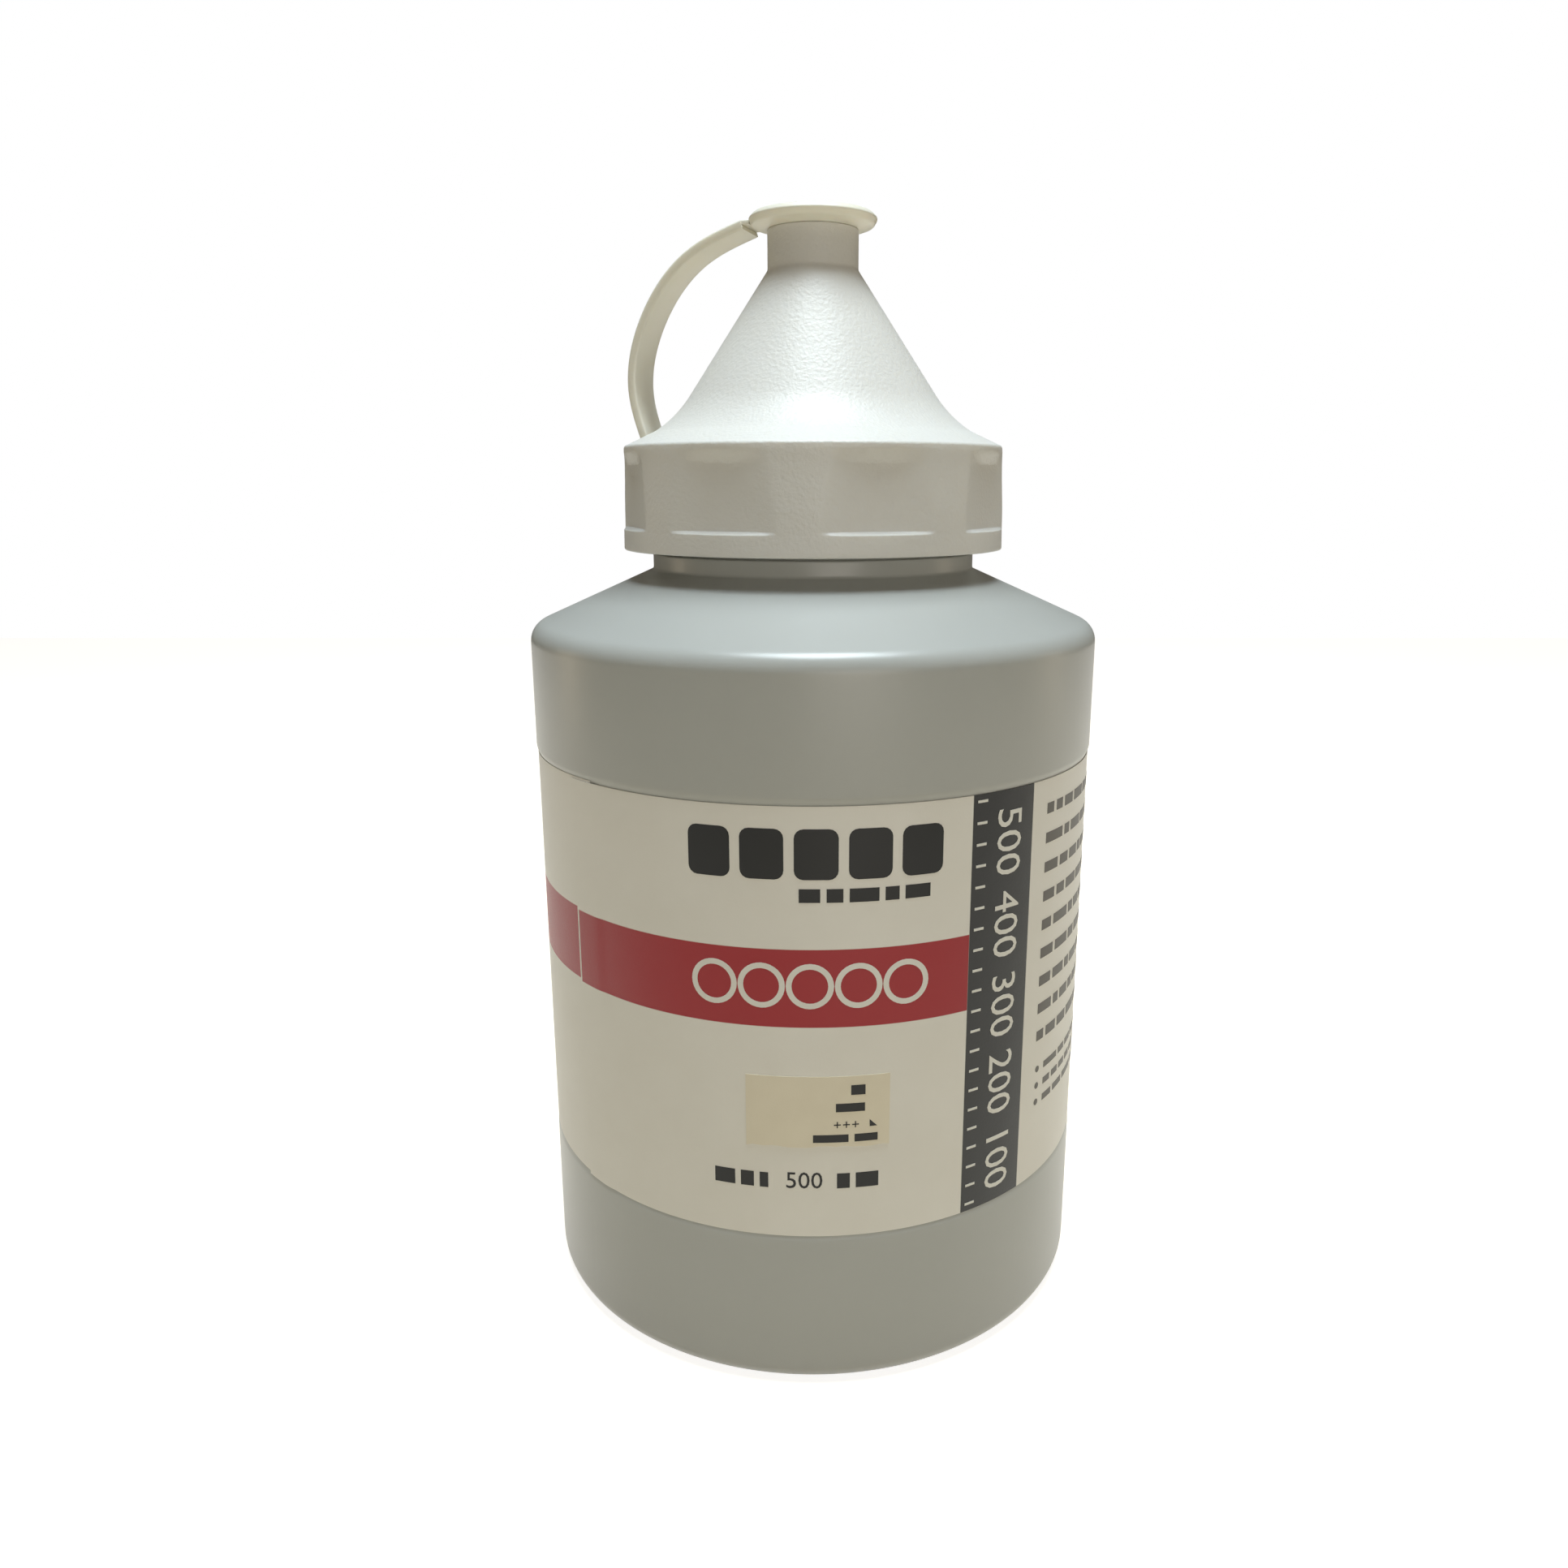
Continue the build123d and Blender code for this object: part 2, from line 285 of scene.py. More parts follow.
lift = add(thread_tree, "ShaderNodeCombineXYZ", {"Z": given["Start"]})
raised = add(thread_tree, "GeometryNodeTransform", {
    "Geometry": swept.outputs[0], "Translation": lift.outputs[0]})
real = add(thread_tree, "GeometryNodeRealizeInstances", {"Geometry": raised.outputs[0]})
coated = add(thread_tree, "GeometryNodeSetMaterial", {
    "Geometry": real.outputs[0], "Material": given["Material"]})
add(thread_tree, "NodeGroupOutput", {"Geometry": coated.outputs[0]})


def grown(name, tree, values, body):
    """Makes a plain mesh piece from a Geometry Nodes tree with its named inputs set."""
    seed = bpy.data.objects.new(name + "_seed", bpy.data.meshes.new(name + "_seed"))
    bpy.context.scene.collection.objects.link(seed)
    maker = seed.modifiers.new("maker", "NODES")
    maker.node_group = tree
    for item in tree.interface.items_tree:
        if item.in_out == "INPUT" and item.name in values:
            maker[item.identifier] = values[item.name]
    seed.data.update()
    solid = seed.evaluated_get(bpy.context.evaluated_depsgraph_get())
    mesh = bpy.data.meshes.new_from_object(solid)
    mesh.name = name
    bpy.data.objects.remove(seed)
    bm = bmesh.new()
    bm.from_mesh(mesh)
    bmesh.ops.recalc_face_normals(bm, faces=bm.faces)
    bm.to_mesh(mesh)
    bm.free()
    mesh.shade_smooth()
    mesh.set_sharp_from_angle(angle=math.radians(40))
    piece = bpy.data.objects.new(name, mesh)
    bpy.context.scene.collection.objects.link(piece)
    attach(piece, body)
    print(name, len(mesh.polygons), "faces")


grown("neck_thread", thread_tree, {
    "Radius": neck * MM, "Pitch": thread_pitch * MM, "Turns": thread_turns, "Depth": neck_ridge * MM,
    "Start": neck_ridge_start * MM, "Outward": 1.0, "Material": bottle_hdpe}, "jar")

# %% [markdown]
# The cap is spun too, and then eight flats are pressed into its skirt for the fingers. On the real one each
# flat ends on a small ledge above a plain ring, and runs out softly below the rim. Here the outline's outer
# points are drawn in towards a flat plane wherever they stand past it, with soft edges.

# %% Cap
cap_low, rim, spout_top = foot_of("cap"), foot_of("strap"), top_of("cap")
skirt_low, skirt_rim, skirt_bore = 28.1, 27.7, 25.4
flats, flat_turn = 8, math.radians(18.5)
flat_face, flat_low, flat_high = 26.85, cap_low + 2.9, rim - 1.0
skirt_inner, flat_ease = 27.0, 0.05
flare_foot, flare_bend, cone_foot = 23.2, 20.0, 17.85
cone_low, spout, spout_foot = rim + 7.1, 6.5, rim + 24.1
spout_bore, cone_bore, roof_bore = 4.7, 16.25, 18.4
cone_wall, roof = 0.8, 2.2


def ramp(value, start, end):
    """0 before start, 1 after end, and smooth between."""
    t = min(1.0, max(0.0, (value - start) / (end - start)))
    return t * t * (3 - 2 * t)


def pressed(r, z, angle):
    """The skirt's radius with the finger flats pressed in."""
    if r < skirt_inner or z > rim + 0.2:
        return r
    step = 2 * math.pi / flats
    off = (angle - FRONT - flat_turn + step / 2) % step - step / 2
    past = max(0.0, r - flat_face / math.cos(off))
    share = ramp(z, flat_low - 0.05, flat_low + 0.45) * (1 - ramp(z, flat_high - 2.2, flat_high + 0.4))
    return r - share * past * past / (past + flat_ease)


def cone_points():
    """The flare at the rim, then the straight cone up to the spout."""
    steep = (spout_foot - cone_low) / (cone_foot - spout)
    bend = (flare_bend, cone_low - (flare_bend - cone_foot) * steep)
    start, end = (flare_foot, rim + 1.9), (cone_foot, cone_low)
    return [tuple((1 - t) ** 2 * a + 2 * t * (1 - t) * b + t * t * c for a, b, c in zip(start, bend, end))
            for t in [i / 12 for i in range(13)]]


skin = [(skirt_bore, cap_low), (skirt_low, cap_low)]
skin += [(skirt_low - 0.02, cap_low + 1.2), (skirt_low - 0.05, flat_low - 0.25)]
skin += [(skirt_low - 0.06, flat_low + 0.02 * k) for k in (-4, 0, 4, 8, 12, 16, 20, 24)]
skin += [(skirt_rim + 0.3, cap_low + 6), (skirt_rim + 0.2, cap_low + 8), (skirt_rim + 0.1, cap_low + 10)]
skin += [(skirt_rim + 0.04, rim - 2.8 + 0.3 * k) for k in range(7)]
skin += arc(skirt_rim - 0.5, rim - 0.5, 0.5, 10, 80, 5) + cone_points()
skin += [(spout, spout_foot), (spout, spout_top)]
hollow = [(spout_bore, spout_top), (spout_bore, spout_foot - cone_wall), (cone_bore, cone_low - cone_wall)]
hollow += [(roof_bore, rim), (roof_bore, rim - roof), (skirt_bore, rim - roof)]
cap_shape = spun(softened(skin + hollow, 0.3), 384, pressed)
finished("cap_shell", cap_shape, cap_pp, "cap", ["cap"], crease=50)
grown("cap_thread", thread_tree, {
    "Radius": skirt_bore * MM, "Pitch": thread_pitch * MM, "Turns": thread_turns, "Depth": cap_ridge * MM,
    "Start": cap_ridge_start * MM, "Outward": -1.0, "Material": cap_pp}, "cap")

# %% [markdown]
# The lid is a small mushroom: a disc with a bevelled edge, a short plug that presses into the spout, and a
# shallow dimple where the plastic entered its mould. A thin tab joins it to the strap. The strap is one flat
# ribbon, carried along a smooth curve from the tab out and down to the cap's rim.

# %% Lid
plug, plug_bore, lid_radius = 4.6, 2.6, 9.2
plug_foot, core_foot = spout_top - 3.4, spout_top - 0.8
edge_high, lid_top, dimple = spout_top + 1.4, spout_top + 2.1, 0.1
lid_outline = [(0, core_foot), (plug_bore, core_foot), (plug_bore, plug_foot), (plug - 0.75, plug_foot)]
lid_outline += [(plug, spout_top), (6.7, spout_top), (8.7, spout_top + 0.5), (lid_radius, edge_high)]
lid_outline += [(lid_radius - 0.7, lid_top), (1.0, lid_top), (0.8, lid_top - dimple), (0, lid_top - dimple)]
strap_turn = math.radians(180 - 18)


def turned(bm):
    """Turns a shape made along +X to the strap's side."""
    bmesh.ops.rotate(bm, cent=(0, 0, 0), matrix=Matrix.Rotation(strap_turn, 3, "Z"), verts=bm.verts)
    return bm


finished("snap_lid", spun(softened(lid_outline, 0.25), 128), ivory_pe, "lid", ["lid"])


def ribbon(path, width, thickness, corner=0.3):
    """A flat ribbon in the XZ plane along a path of its outer face; thickness goes towards the right."""
    bm = bmesh.new()
    sections = []
    for i, (x, z) in enumerate(path):
        ahead, behind = path[min(i + 1, len(path) - 1)], path[max(i - 1, 0)]
        length = math.dist(ahead, behind)
        inward = ((ahead[1] - behind[1]) / length, -(ahead[0] - behind[0]) / length)
        ring = []
        for side_y, side_t in ((1, 0), (1, 1), (-1, 1), (-1, 0)):
            for k in range(4):
                turn = math.radians(90 * k / 3)
                lead = (math.sin(turn), math.cos(turn)) if side_y * (1 if side_t else -1) < 0 else (
                    math.cos(turn), math.sin(turn))
                y = side_y * (width / 2 - corner + corner * lead[0])
                t = corner - corner * lead[1] if side_t == 0 else thickness - corner + corner * lead[1]
                ring.append(bm.verts.new((x + inward[0] * t, y, z + inward[1] * t)))
        sections.append(ring)
    for one, two in zip(sections, sections[1:]):
        for k in range(len(one)):
            n = (k + 1) % len(one)
            bm.faces.new((one[k], one[n], two[n], two[k]))
    bm.faces.new(sections[0])
    bm.faces.new(sections[-1])
    return bm


def through(points, count=72):
    """A smooth path through the points: a natural cubic spline, measured along its chords."""
    spots = np.array(points, float)
    along = np.concatenate([[0], np.cumsum(np.hypot(*np.diff(spots, axis=0).T))])
    gaps = np.diff(along)
    size = len(spots)
    system, target = np.eye(size), np.zeros((size, 2))
    for i in range(1, size - 1):
        system[i, i - 1:i + 2] = gaps[i - 1], 2 * (gaps[i - 1] + gaps[i]), gaps[i]
        target[i] = 6 * ((spots[i + 1] - spots[i]) / gaps[i] - (spots[i] - spots[i - 1]) / gaps[i - 1])
    bend = np.linalg.solve(system, target)
    path = []
    for where in np.linspace(0, along[-1], count):
        i = min(int(np.searchsorted(along, where, "right")) - 1, size - 2)
        h, a, b = gaps[i], along[i + 1] - where, where - along[i]
        spot = (bend[i] * a ** 3 + bend[i + 1] * b ** 3) / (6 * h)
        spot = spot + (spots[i] / h - bend[i] * h / 6) * a + (spots[i + 1] / h - bend[i + 1] * h / 6) * b
        path.append(tuple(spot))
    return path


# %% Strap
strap_width, strap_thickness = 6.6, 1.3
tab_width, tab_thickness, tab_corner = 6.0, 0.6, 0.15
course = [(9.9, edge_high), (18.5, rim + 27.2), (25.3, rim + 19.7), (28.3, rim + 8.2), (26.2, rim + 0.2)]
strap_shape = ribbon(through(course), strap_width, strap_thickness)
finished("strap_ribbon", turned(strap_shape), ivory_pe, "cap", ["strap"], crease=60)
tab_course = [(8.6, edge_high), (lid_radius, edge_high), (9.85, edge_high)]
tab_shape = ribbon(tab_course, tab_width, tab_thickness, tab_corner)
finished("lid_tab", turned(tab_shape), ivory_pe, "lid")

# %% [markdown]
# The label is a printed film that goes right round and laps over itself left of the front. It is one ribbon
# with a real thickness: its first few degrees ride over its own tail, and the tail sits a little high, which
# makes the small step in the edge. Its UV map is in millimetres, measured along the film from the front, so
# that the printing follows the film.

# %% Label
face = panel + film
back_gap, face_share = 0.01, 0.93
lap_turn, lap_width = -51.0, 6.0
tail_rise = 0.3


def label_point(turn, height, layer):
    """A point on the film, turn degrees along it from the front; layer is 0 for its back, 1 for its face."""
    over = 1 - ramp(turn, lap_turn + lap_width, lap_turn + lap_width + 3)
    radius = panel + back_gap + film * layer * face_share + over * film
    rise = tail_rise * (turn - lap_turn) / 360 - tail_rise / 2
    angle = FRONT + math.radians(turn)
    return (radius * math.cos(angle), radius * math.sin(angle), height + rise)


bm = bmesh.new()
stations = 366
uv_of = {}
rows = []
for i in range(stations + 1):
    turn = lap_turn + (360 + lap_width) * i / stations
    row = []
    for height, layer in ((label_low, 1), (label_high, 1), (label_high, 0), (label_low, 0)):
        vert = bm.verts.new(label_point(turn, height, layer))
        uv_of[vert] = (math.radians(turn) * face, height - label_low)
        row.append(vert)
    rows.append(row)
for one, two in zip(rows, rows[1:]):
    for k in range(4):
        bm.faces.new((one[k], one[(k + 1) % 4], two[(k + 1) % 4], two[k]))
bm.faces.new(rows[0])
bm.faces.new(rows[-1])
uv_layer = bm.loops.layers.uv.new("film_mm")
for polygon in bm.faces:
    for loop in polygon.loops:
        loop[uv_layer].uv = uv_of[loop.vert]

# %% [markdown]
# The film's colours are printed in flat areas: a red band with a black upright strip at its right end, on a
# warm white ground. Each is a box in the UV map's millimetres. Under the ink the film has the faint waves
# that come from its gluing.

# %% Label film material
STRIP = (21.4, 32.5)
BAND = (30.5, 41.2)
TAIL_BAND = (165.0, 300.0)
label_film = bpy.data.materials.new("printed_label_film")
label_film.use_nodes = True
tree = label_film.node_tree
tree.nodes.clear()
flat = add(tree, "ShaderNodeUVMap", uv_map="film_mm")
split = add(tree, "ShaderNodeSeparateXYZ", {"Vector": flat.outputs[0]})


def between(value, low, high, blur=0.05):
    """1 where value lies between low and high, in the UV map's millimetres."""
    up = add(tree, "ShaderNodeMapRange", {"Value": value, "From Min": low - blur, "From Max": low + blur})
    down = add(tree, "ShaderNodeMapRange", {"Value": value, "From Min": high - blur, "From Max": high + blur,
                                            "To Min": 1.0, "To Max": 0.0})
    within = add(tree, "ShaderNodeMath", {0: up.outputs[0], 1: down.outputs[0]}, operation="MULTIPLY")
    return within.outputs[0]


def both(a, b, operation="MULTIPLY"):
    """Two values joined by one sum; a plain product keeps what both masks cover."""
    return add(tree, "ShaderNodeMath", {0: a, 1: b}, operation=operation).outputs[0]


def inked(ground, colour, mask):
    """The ground with a colour printed on it where the mask is 1."""
    mixed = add(tree, "ShaderNodeMix", {"Factor": mask, 6: ground, 7: linear(colour)}, data_type="RGBA")
    return mixed.outputs[2]


place = add(tree, "ShaderNodeTexCoord").outputs["Object"]
wave = add(tree, "ShaderNodeTexNoise", {"Vector": place, "Scale": 1 / (9 * MM), "Detail": 2.0})
speck = add(tree, "ShaderNodeTexNoise", {"Vector": place, "Scale": 1 / (0.3 * MM), "Detail": 2.0})
ground = add(tree, "ShaderNodeMix", {
    "Factor": wave.outputs["Fac"], 6: linear("#F0EDE6"), 7: linear("#E9E5DC")}, data_type="RGBA").outputs[2]
front_band = between(split.outputs[0], math.radians(lap_turn) * face + 0.35, STRIP[0])
tail_band = between(split.outputs[0], *TAIL_BAND)
band_rows = between(split.outputs[1], *BAND)
printed = inked(ground, "#A0161F", both(band_rows, both(front_band, tail_band, "MAXIMUM")))
printed = inked(printed, "#0F0E0C", between(split.outputs[0], *STRIP))
height = both(wave.outputs["Fac"], both(speck.outputs["Fac"], 0.12), "ADD")
bump = add(tree, "ShaderNodeBump", {"Height": height, "Strength": 1.0, "Distance": 0.10 * MM})
gloss = add(tree, "ShaderNodeMapRange", {"Value": speck.outputs["Fac"], "To Min": 0.36, "To Max": 0.46})
surface = add(tree, "ShaderNodeBsdfPrincipled", {"Base Color": printed, "Roughness": gloss.outputs[0],
                                                 "Normal": bump.outputs[0], "IOR": 1.48})
add(tree, "ShaderNodeOutputMaterial", {"Surface": surface.outputs[0]})
finished("label_film", bm, label_film, "jar", ["label"], crease=30)

# %% [markdown]
# The fine print is a very thin layer of ink: flat shapes are drawn in the label's millimetres, cut into
# narrow columns so that they can bend, wrapped round the jar and given a hair's thickness. The marks are
# plain ones: squares, rings, dashes in place of words, and a filling scale with plain numbers.

# %% Ink


def ink(name, dark, pale, rough):
    """A printing ink, a little mottled."""
    return plastic(name, dark, pale, rough, 5, 0.3, 0.004, ior=1.4)


black_ink = ink("black_printing_ink", "#0F0E0C", "#141310", 0.42)
grey_ink = ink("grey_printing_ink", "#55514B", "#625E57", 0.45)
white_ink = ink("white_printing_ink", "#F1EFE9", "#E9E6DE", 0.42)


def block(bm, left, low, right, high, corner=0.0):
    """A filled box with rounded corners, flat in the label's millimetres."""
    points = []
    for x, y, start in ((right, high, 0), (left, high, 90), (left, low, 180), (right, low, 270)):
        if not corner:
            points.append((x, y))
            continue
        cx = x - corner if x == right else x + corner
        cy = y - corner if y == high else y + corner
        points += [(cx + corner * math.cos(math.radians(start + k * 22.5)),
                    cy + corner * math.sin(math.radians(start + k * 22.5))) for k in range(5)]
    bm.faces.new([bm.verts.new((x, y, 0)) for x, y in points])


def ring(bm, x, y, outer, inner, count=32):
    """A flat ring round x, y."""
    turns = [2 * math.pi * k / count for k in range(count)]
    rims = [[bm.verts.new((x + r * math.cos(t), y + r * math.sin(t), 0)) for t in turns]
            for r in (outer, inner)]
    for k in range(count):
        n = (k + 1) % count
        bm.faces.new((rims[0][k], rims[0][n], rims[1][n], rims[1][k]))


def numeral(bm, text, x, y, size, turn=0.0):
    """A plain number centred at x, y."""
    curve = bpy.data.curves.new("numeral", "FONT")
    curve.body, curve.size = text, size
    curve.align_x, curve.align_y = "CENTER", "CENTER"
    curve.resolution_u = 3
    holder = bpy.data.objects.new("numeral", curve)
    bpy.context.scene.collection.objects.link(holder)
    mesh = bpy.data.meshes.new_from_object(holder.evaluated_get(bpy.context.evaluated_depsgraph_get()))
    bpy.data.objects.remove(holder)
    start = len(bm.verts)
    bm.from_mesh(mesh)
    bm.verts.ensure_lookup_table()
    cosine, sine = math.cos(math.radians(turn)), math.sin(math.radians(turn))
    for vert in bm.verts[start:]:
        px, py = vert.co.x, vert.co.y
        vert.co = (x + px * cosine - py * sine, y + px * sine + py * cosine, 0)


def words(bm, left, right, low, high, rng):
    """A line of dashes that stands for a line of small print."""
    x = left
    while x < right - 1.0:
        length = min(rng.uniform(1.6, 5.0), right - x)
        block(bm, x, low, x + length, high)
        x += length + 0.8


def wrapped(bm, radius, thickness=0.03):
    """Bends flat shapes round the jar and gives them a thickness."""
    bmesh.ops.remove_doubles(bm, verts=bm.verts, dist=1e-4)
    reach = [v.co.x for v in bm.verts]
    for cut in range(math.floor(min(reach)), math.ceil(max(reach)) + 1):
        geometry = bm.verts[:] + bm.edges[:] + bm.faces[:]
        bmesh.ops.bisect_plane(bm, geom=geometry, plane_co=(cut + 0.013, 0, 0), plane_no=(1, 0, 0))
    grown_faces = bmesh.ops.extrude_face_region(bm, geom=bm.faces[:], use_keep_orig=True)
    for vert in [g for g in grown_faces["geom"] if isinstance(g, bmesh.types.BMVert)]:
        vert.co.z = thickness
    for vert in bm.verts:
        x, y, depth = vert.co
        angle = FRONT + x / face
        vert.co = ((radius + depth) * math.cos(angle), (radius + depth) * math.sin(angle), label_low + y)
    return bm


# %% Black print
rng = random.Random(7)
ink_face = face + 0.005
bm = bmesh.new()
for k in range(5):
    left = -16.2 + 6.9 * k
    block(bm, left, 50.4, left + 5.6, 57.0, 1.2)
words(bm, -1.8, 17.0, 47.4, 49.2, rng)
words(bm, -13.4, -6.0, 7.1, 9.3, rng)
numeral(bm, "500", -1.2, 8.2, 3.4)
words(bm, 3.2, 10.6, 7.1, 9.3, rng)
finished("print_black", wrapped(bm, ink_face), black_ink, "jar", crease=30)

# %% Grey print
bm = bmesh.new()
for k in range(9):
    high = 56.5 - 4.2 * k
    words(bm, 36.0, 74.0 if k < 8 else 58.0, high - 1.5, high, rng)
for k in range(3):
    high = 17.4 - 2.6 * k
    ring(bm, 36.6, high - 0.5, 0.5, 0.05, 12)
    words(bm, 38.5, 66.0, high - 1.0, high, rng)
for k in range(6):
    words(bm, 92.0, 132.0, 52.0 - 3.4 * k, 53.1 - 3.4 * k, rng)
finished("print_grey", wrapped(bm, ink_face), grey_ink, "jar", crease=30)

# %% White print
bm = bmesh.new()
for k in range(5):
    ring(bm, -13.0 + 6.3 * k, 36.1, 3.1, 2.35)
centre = sum(STRIP) / 2
for k in range(5):
    numeral(bm, str(100 * (k + 1)), centre + 0.6, 6.5 + 11.6 * k, 6.4, -90)
finished("print_white", wrapped(bm, ink_face), white_ink, "jar", crease=30)

# %% [markdown]
# The scale's marks repeat evenly up the strip, so a second small Geometry Nodes tree lays them out: one thin
# bar, copied along a line. It has the marks' count, spacing and size as named inputs.

# %% Scale marks
marks, mark_spacing, mark_length, mark_width, mark_depth = 21, 2.9, 1.6, 0.35, 0.05
mark_turn = FRONT + (STRIP[0] + 1.5) / face
mark_radius, mark_start = face + 0.015, label_low + 1.0

marks_tree = bpy.data.node_groups.new("scale_marks", "GeometryNodeTree")
for title, kind, value in (("Count", "NodeSocketInt", marks),
                           ("Spacing", "NodeSocketFloat", mark_spacing * MM),
                           ("Length", "NodeSocketFloat", mark_length * MM),
                           ("Width", "NodeSocketFloat", mark_width * MM),
                           ("Turn", "NodeSocketFloat", mark_turn),
                           ("Radius", "NodeSocketFloat", mark_radius * MM),
                           ("Start", "NodeSocketFloat", mark_start * MM),
                           ("Material", "NodeSocketMaterial", None)):
    item = marks_tree.interface.new_socket(title, in_out="INPUT", socket_type=kind)
    if value is not None:
        item.default_value = value
marks_tree.interface.new_socket("Geometry", in_out="OUTPUT", socket_type="NodeSocketGeometry")
given = add(marks_tree, "NodeGroupInput").outputs
step = add(marks_tree, "ShaderNodeCombineXYZ", {"Z": given["Spacing"]})
first = add(marks_tree, "ShaderNodeCombineXYZ", {"X": given["Radius"], "Z": given["Start"]})
line = add(marks_tree, "GeometryNodeMeshLine", {
    "Count": given["Count"], "Start Location": first.outputs[0], "Offset": step.outputs[0]}, mode="OFFSET")
size = add(marks_tree, "ShaderNodeCombineXYZ", {
    "X": mark_depth * MM, "Y": given["Length"], "Z": given["Width"]})
bar = add(marks_tree, "GeometryNodeMeshCube", {"Size": size.outputs[0]})
copies = add(marks_tree, "GeometryNodeInstanceOnPoints", {
    "Points": line.outputs[0], "Instance": bar.outputs[0]})
spin = add(marks_tree, "ShaderNodeCombineXYZ", {"Z": given["Turn"]})
swung = add(marks_tree, "GeometryNodeTransform", {
    "Geometry": copies.outputs[0], "Rotation": spin.outputs[0]})
real = add(marks_tree, "GeometryNodeRealizeInstances", {"Geometry": swung.outputs[0]})
coated = add(marks_tree, "GeometryNodeSetMaterial", {
    "Geometry": real.outputs[0], "Material": given["Material"]})
add(marks_tree, "NodeGroupOutput", {"Geometry": coated.outputs[0]})
grown("scale_marks", marks_tree, {
    "Turn": mark_turn, "Start": mark_start * MM, "Count": marks, "Spacing": mark_spacing * MM,
    "Length": mark_length * MM, "Width": mark_width * MM, "Radius": mark_radius * MM, "Material": white_ink},
      "jar")

# %% [markdown]
# The sticker tells the colour. It is a small cream paper patch on the label, torn a little along its lower
# edge. It carries plain marks only. Its box gives its width straight across, and the film is measured along
# its curve, so the width grows by a hundredth.

# %% Sticker
sticker_paper = plastic("cream_sticker_paper", "#EFE6D1", "#E8DEC8", 0.6, 4, 0.2, 0.01)
arc_share = 1.01
sticker_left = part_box("colour_sticker")[0].x / MM * arc_share
sticker_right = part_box("colour_sticker")[1].x / MM * arc_share
base, top = foot_of("colour_sticker") - label_low, top_of("colour_sticker") - label_low
paper_gap, paper, tear, teeth = 0.01, 0.12, 0.28, 24
bm = bmesh.new()
ragged = [(sticker_right - (sticker_right - sticker_left) * k / teeth,
           base + (rng.uniform(0.0, tear) if 0 < k < teeth else 0)) for k in range(teeth + 1)]
outline = [(sticker_left, top), (sticker_right, top)] + ragged
bm.faces.new([bm.verts.new((x, y, 0)) for x, y in outline])
finished("sticker_paper", wrapped(bm, face + paper_gap, paper), sticker_paper, "jar",
         ["colour_sticker"], crease=30)

# %% Sticker print
bm = bmesh.new()
edge = sticker_right - 1.6
words(bm, edge - 3.6, edge, base + 7.6, base + 9.0, rng)
words(bm, edge - 5.6, edge, base + 5.2, base + 6.4, rng)
words(bm, edge - 8.6, edge, base + 0.8, base + 1.9, rng)
for k in range(3):
    x = edge - 5.4 + 1.2 * k
    block(bm, x - 0.45, base + 3.25, x + 0.45, base + 3.4)
    block(bm, x - 0.075, base + 2.88, x + 0.075, base + 3.25)
    block(bm, x - 0.075, base + 3.4, x + 0.075, base + 3.78)
wedge = ((edge - 1.1, base + 3.9), (edge - 1.1, base + 2.9), (edge - 0.1, base + 2.9))
bm.faces.new([bm.verts.new((x, y, 0)) for x, y in wedge])
sticker_face = face + paper_gap + paper + 0.005
finished("print_sticker", wrapped(bm, sticker_face), black_ink, "jar", crease=30)

# %% [markdown]
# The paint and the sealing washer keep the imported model's own shapes, because both are plain solids that hide
# inside until the cap comes off. They only need their materials.

# %% Inner pieces
for node, material in (("paint", silver_paint), ("cap_gasket", foam_pe)):
    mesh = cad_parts[node].data
    mesh.materials.clear()
    mesh.materials.append(material)

# %% [markdown]
# The jar stands on a pale floor, with a gentle warm fill from all round. The floor and the world look white
# to the camera through the Light Path node, and the floor looks so in reflections too. It still takes the
# jar's shadow.

# %% Floor and world
floor_size, floor_drop = 1.6, 0.0002
bpy.ops.mesh.primitive_plane_add(size=floor_size, location=(0, 0, -floor_drop))
floor = bpy.context.object
floor.name = "floor"
floor_paper = bpy.data.materials.new("pale_paper_floor")
floor_paper.use_nodes = True
tree = floor_paper.node_tree
tree.nodes.clear()
ray = add(tree, "ShaderNodeLightPath").outputs
seen = both(ray["Is Camera Ray"], ray["Is Glossy Ray"], "MAXIMUM")
seen = both(seen, ray["Is Transmission Ray"], "MAXIMUM")
matte = add(tree, "ShaderNodeBsdfDiffuse", {"Color": linear("#C6BBA4")})
glow = add(tree, "ShaderNodeEmission", {"Color": (1, 1, 1, 1), "Strength": both(seen, 0.86)})
total = add(tree, "ShaderNodeAddShader", {0: matte.outputs[0], 1: glow.outputs[0]})
add(tree, "ShaderNodeOutputMaterial", {"Surface": total.outputs[0]})
floor.data.materials.append(floor_paper)

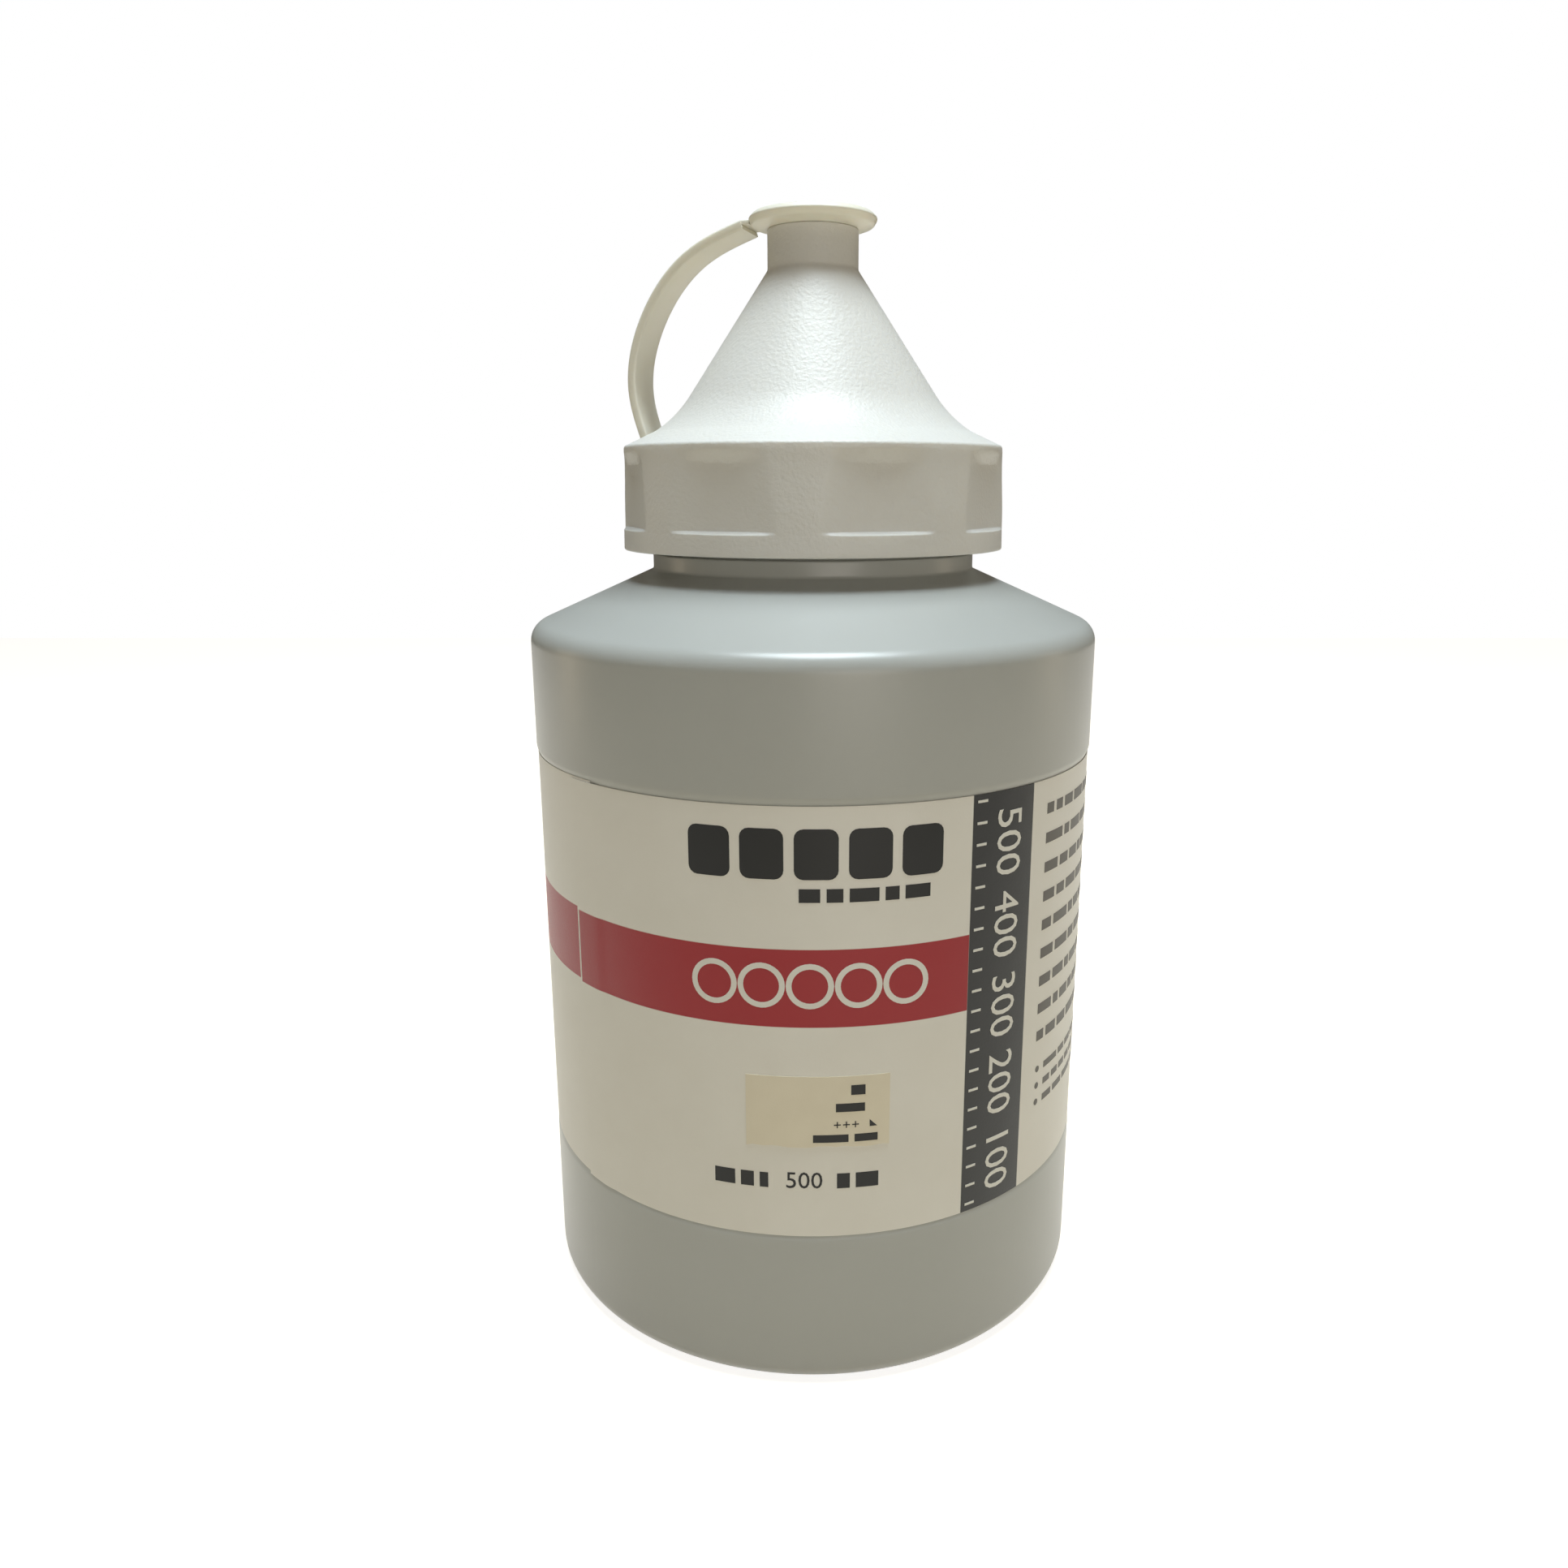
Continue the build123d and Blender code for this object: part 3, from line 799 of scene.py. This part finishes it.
world = bpy.data.worlds.new("room")
bpy.context.scene.world = world
world.use_nodes = True
tree = world.node_tree
tree.nodes.clear()
ray = add(tree, "ShaderNodeLightPath").outputs
around = add(tree, "ShaderNodeBackground", {"Color": (1.0, 0.91, 0.77, 1), "Strength": 0.13})
white = add(tree, "ShaderNodeBackground", {"Color": (1, 1, 1, 1), "Strength": 1.0})
mix = add(tree, "ShaderNodeMixShader", {0: ray["Is Camera Ray"], 1: around.outputs[0], 2: white.outputs[0]})
add(tree, "ShaderNodeOutputWorld", {"Surface": mix.outputs[0]})

# %% [markdown]
# Most of the light comes down from a large cool panel. A wide warm lamp fills the front, and two weak ones
# at the sides draw the edges. The camera stands a few jar radii back and looks down a little.

# %% Lamps and camera


def lamp(name, place, aim, size, power, colour):
    """A rectangular lamp at its place, turned to its aim."""
    data = bpy.data.lights.new(name, "AREA")
    data.shape, data.size, data.size_y = "RECTANGLE", size[0], size[1]
    data.energy, data.color = power, colour
    holder = bpy.data.objects.new(name, data)
    bpy.context.scene.collection.objects.link(holder)
    holder.location = place
    away = holder.location - type(holder.location)(aim)
    holder.rotation_euler = away.to_track_quat("Z", "Y").to_euler()


lamp("ceiling_panel", (0.02, -0.04, 0.80), (0, 0, 0.10), (0.34, 0.30), 6.6, (0.83, 0.94, 1.0))
lamp("left_window", (-0.55, 0.16, 0.08), (0, 0, 0.07), (0.05, 0.24), 0.16, (1.0, 0.80, 0.55))
lamp("right_window", (0.60, 0.14, 0.10), (0, 0, 0.07), (0.05, 0.24), 0.16, (1.0, 0.84, 0.62))
lamp("front_fill", (0.25, -0.90, 0.12), (0, 0, 0.06), (0.5, 0.3), 1.5, (1.0, 0.94, 0.86))

label_radius = face * MM
camera_back, camera_high, camera_tilt = 4.412, 2.900, 13.96
camera_data = bpy.data.cameras.new("camera")
camera_data.sensor_width = 36
camera_data.lens = 27.71
camera_data.shift_x = -0.0185
camera_data.clip_start = 0.01
camera = bpy.data.objects.new("camera", camera_data)
bpy.context.scene.collection.objects.link(camera)
camera.location = (0, -camera_back * label_radius, camera_high * label_radius)
camera.rotation_euler = (math.radians(90 - camera_tilt), 0, 0)
bpy.context.scene.camera = camera
bpy.context.scene.view_settings.view_transform = "Standard"
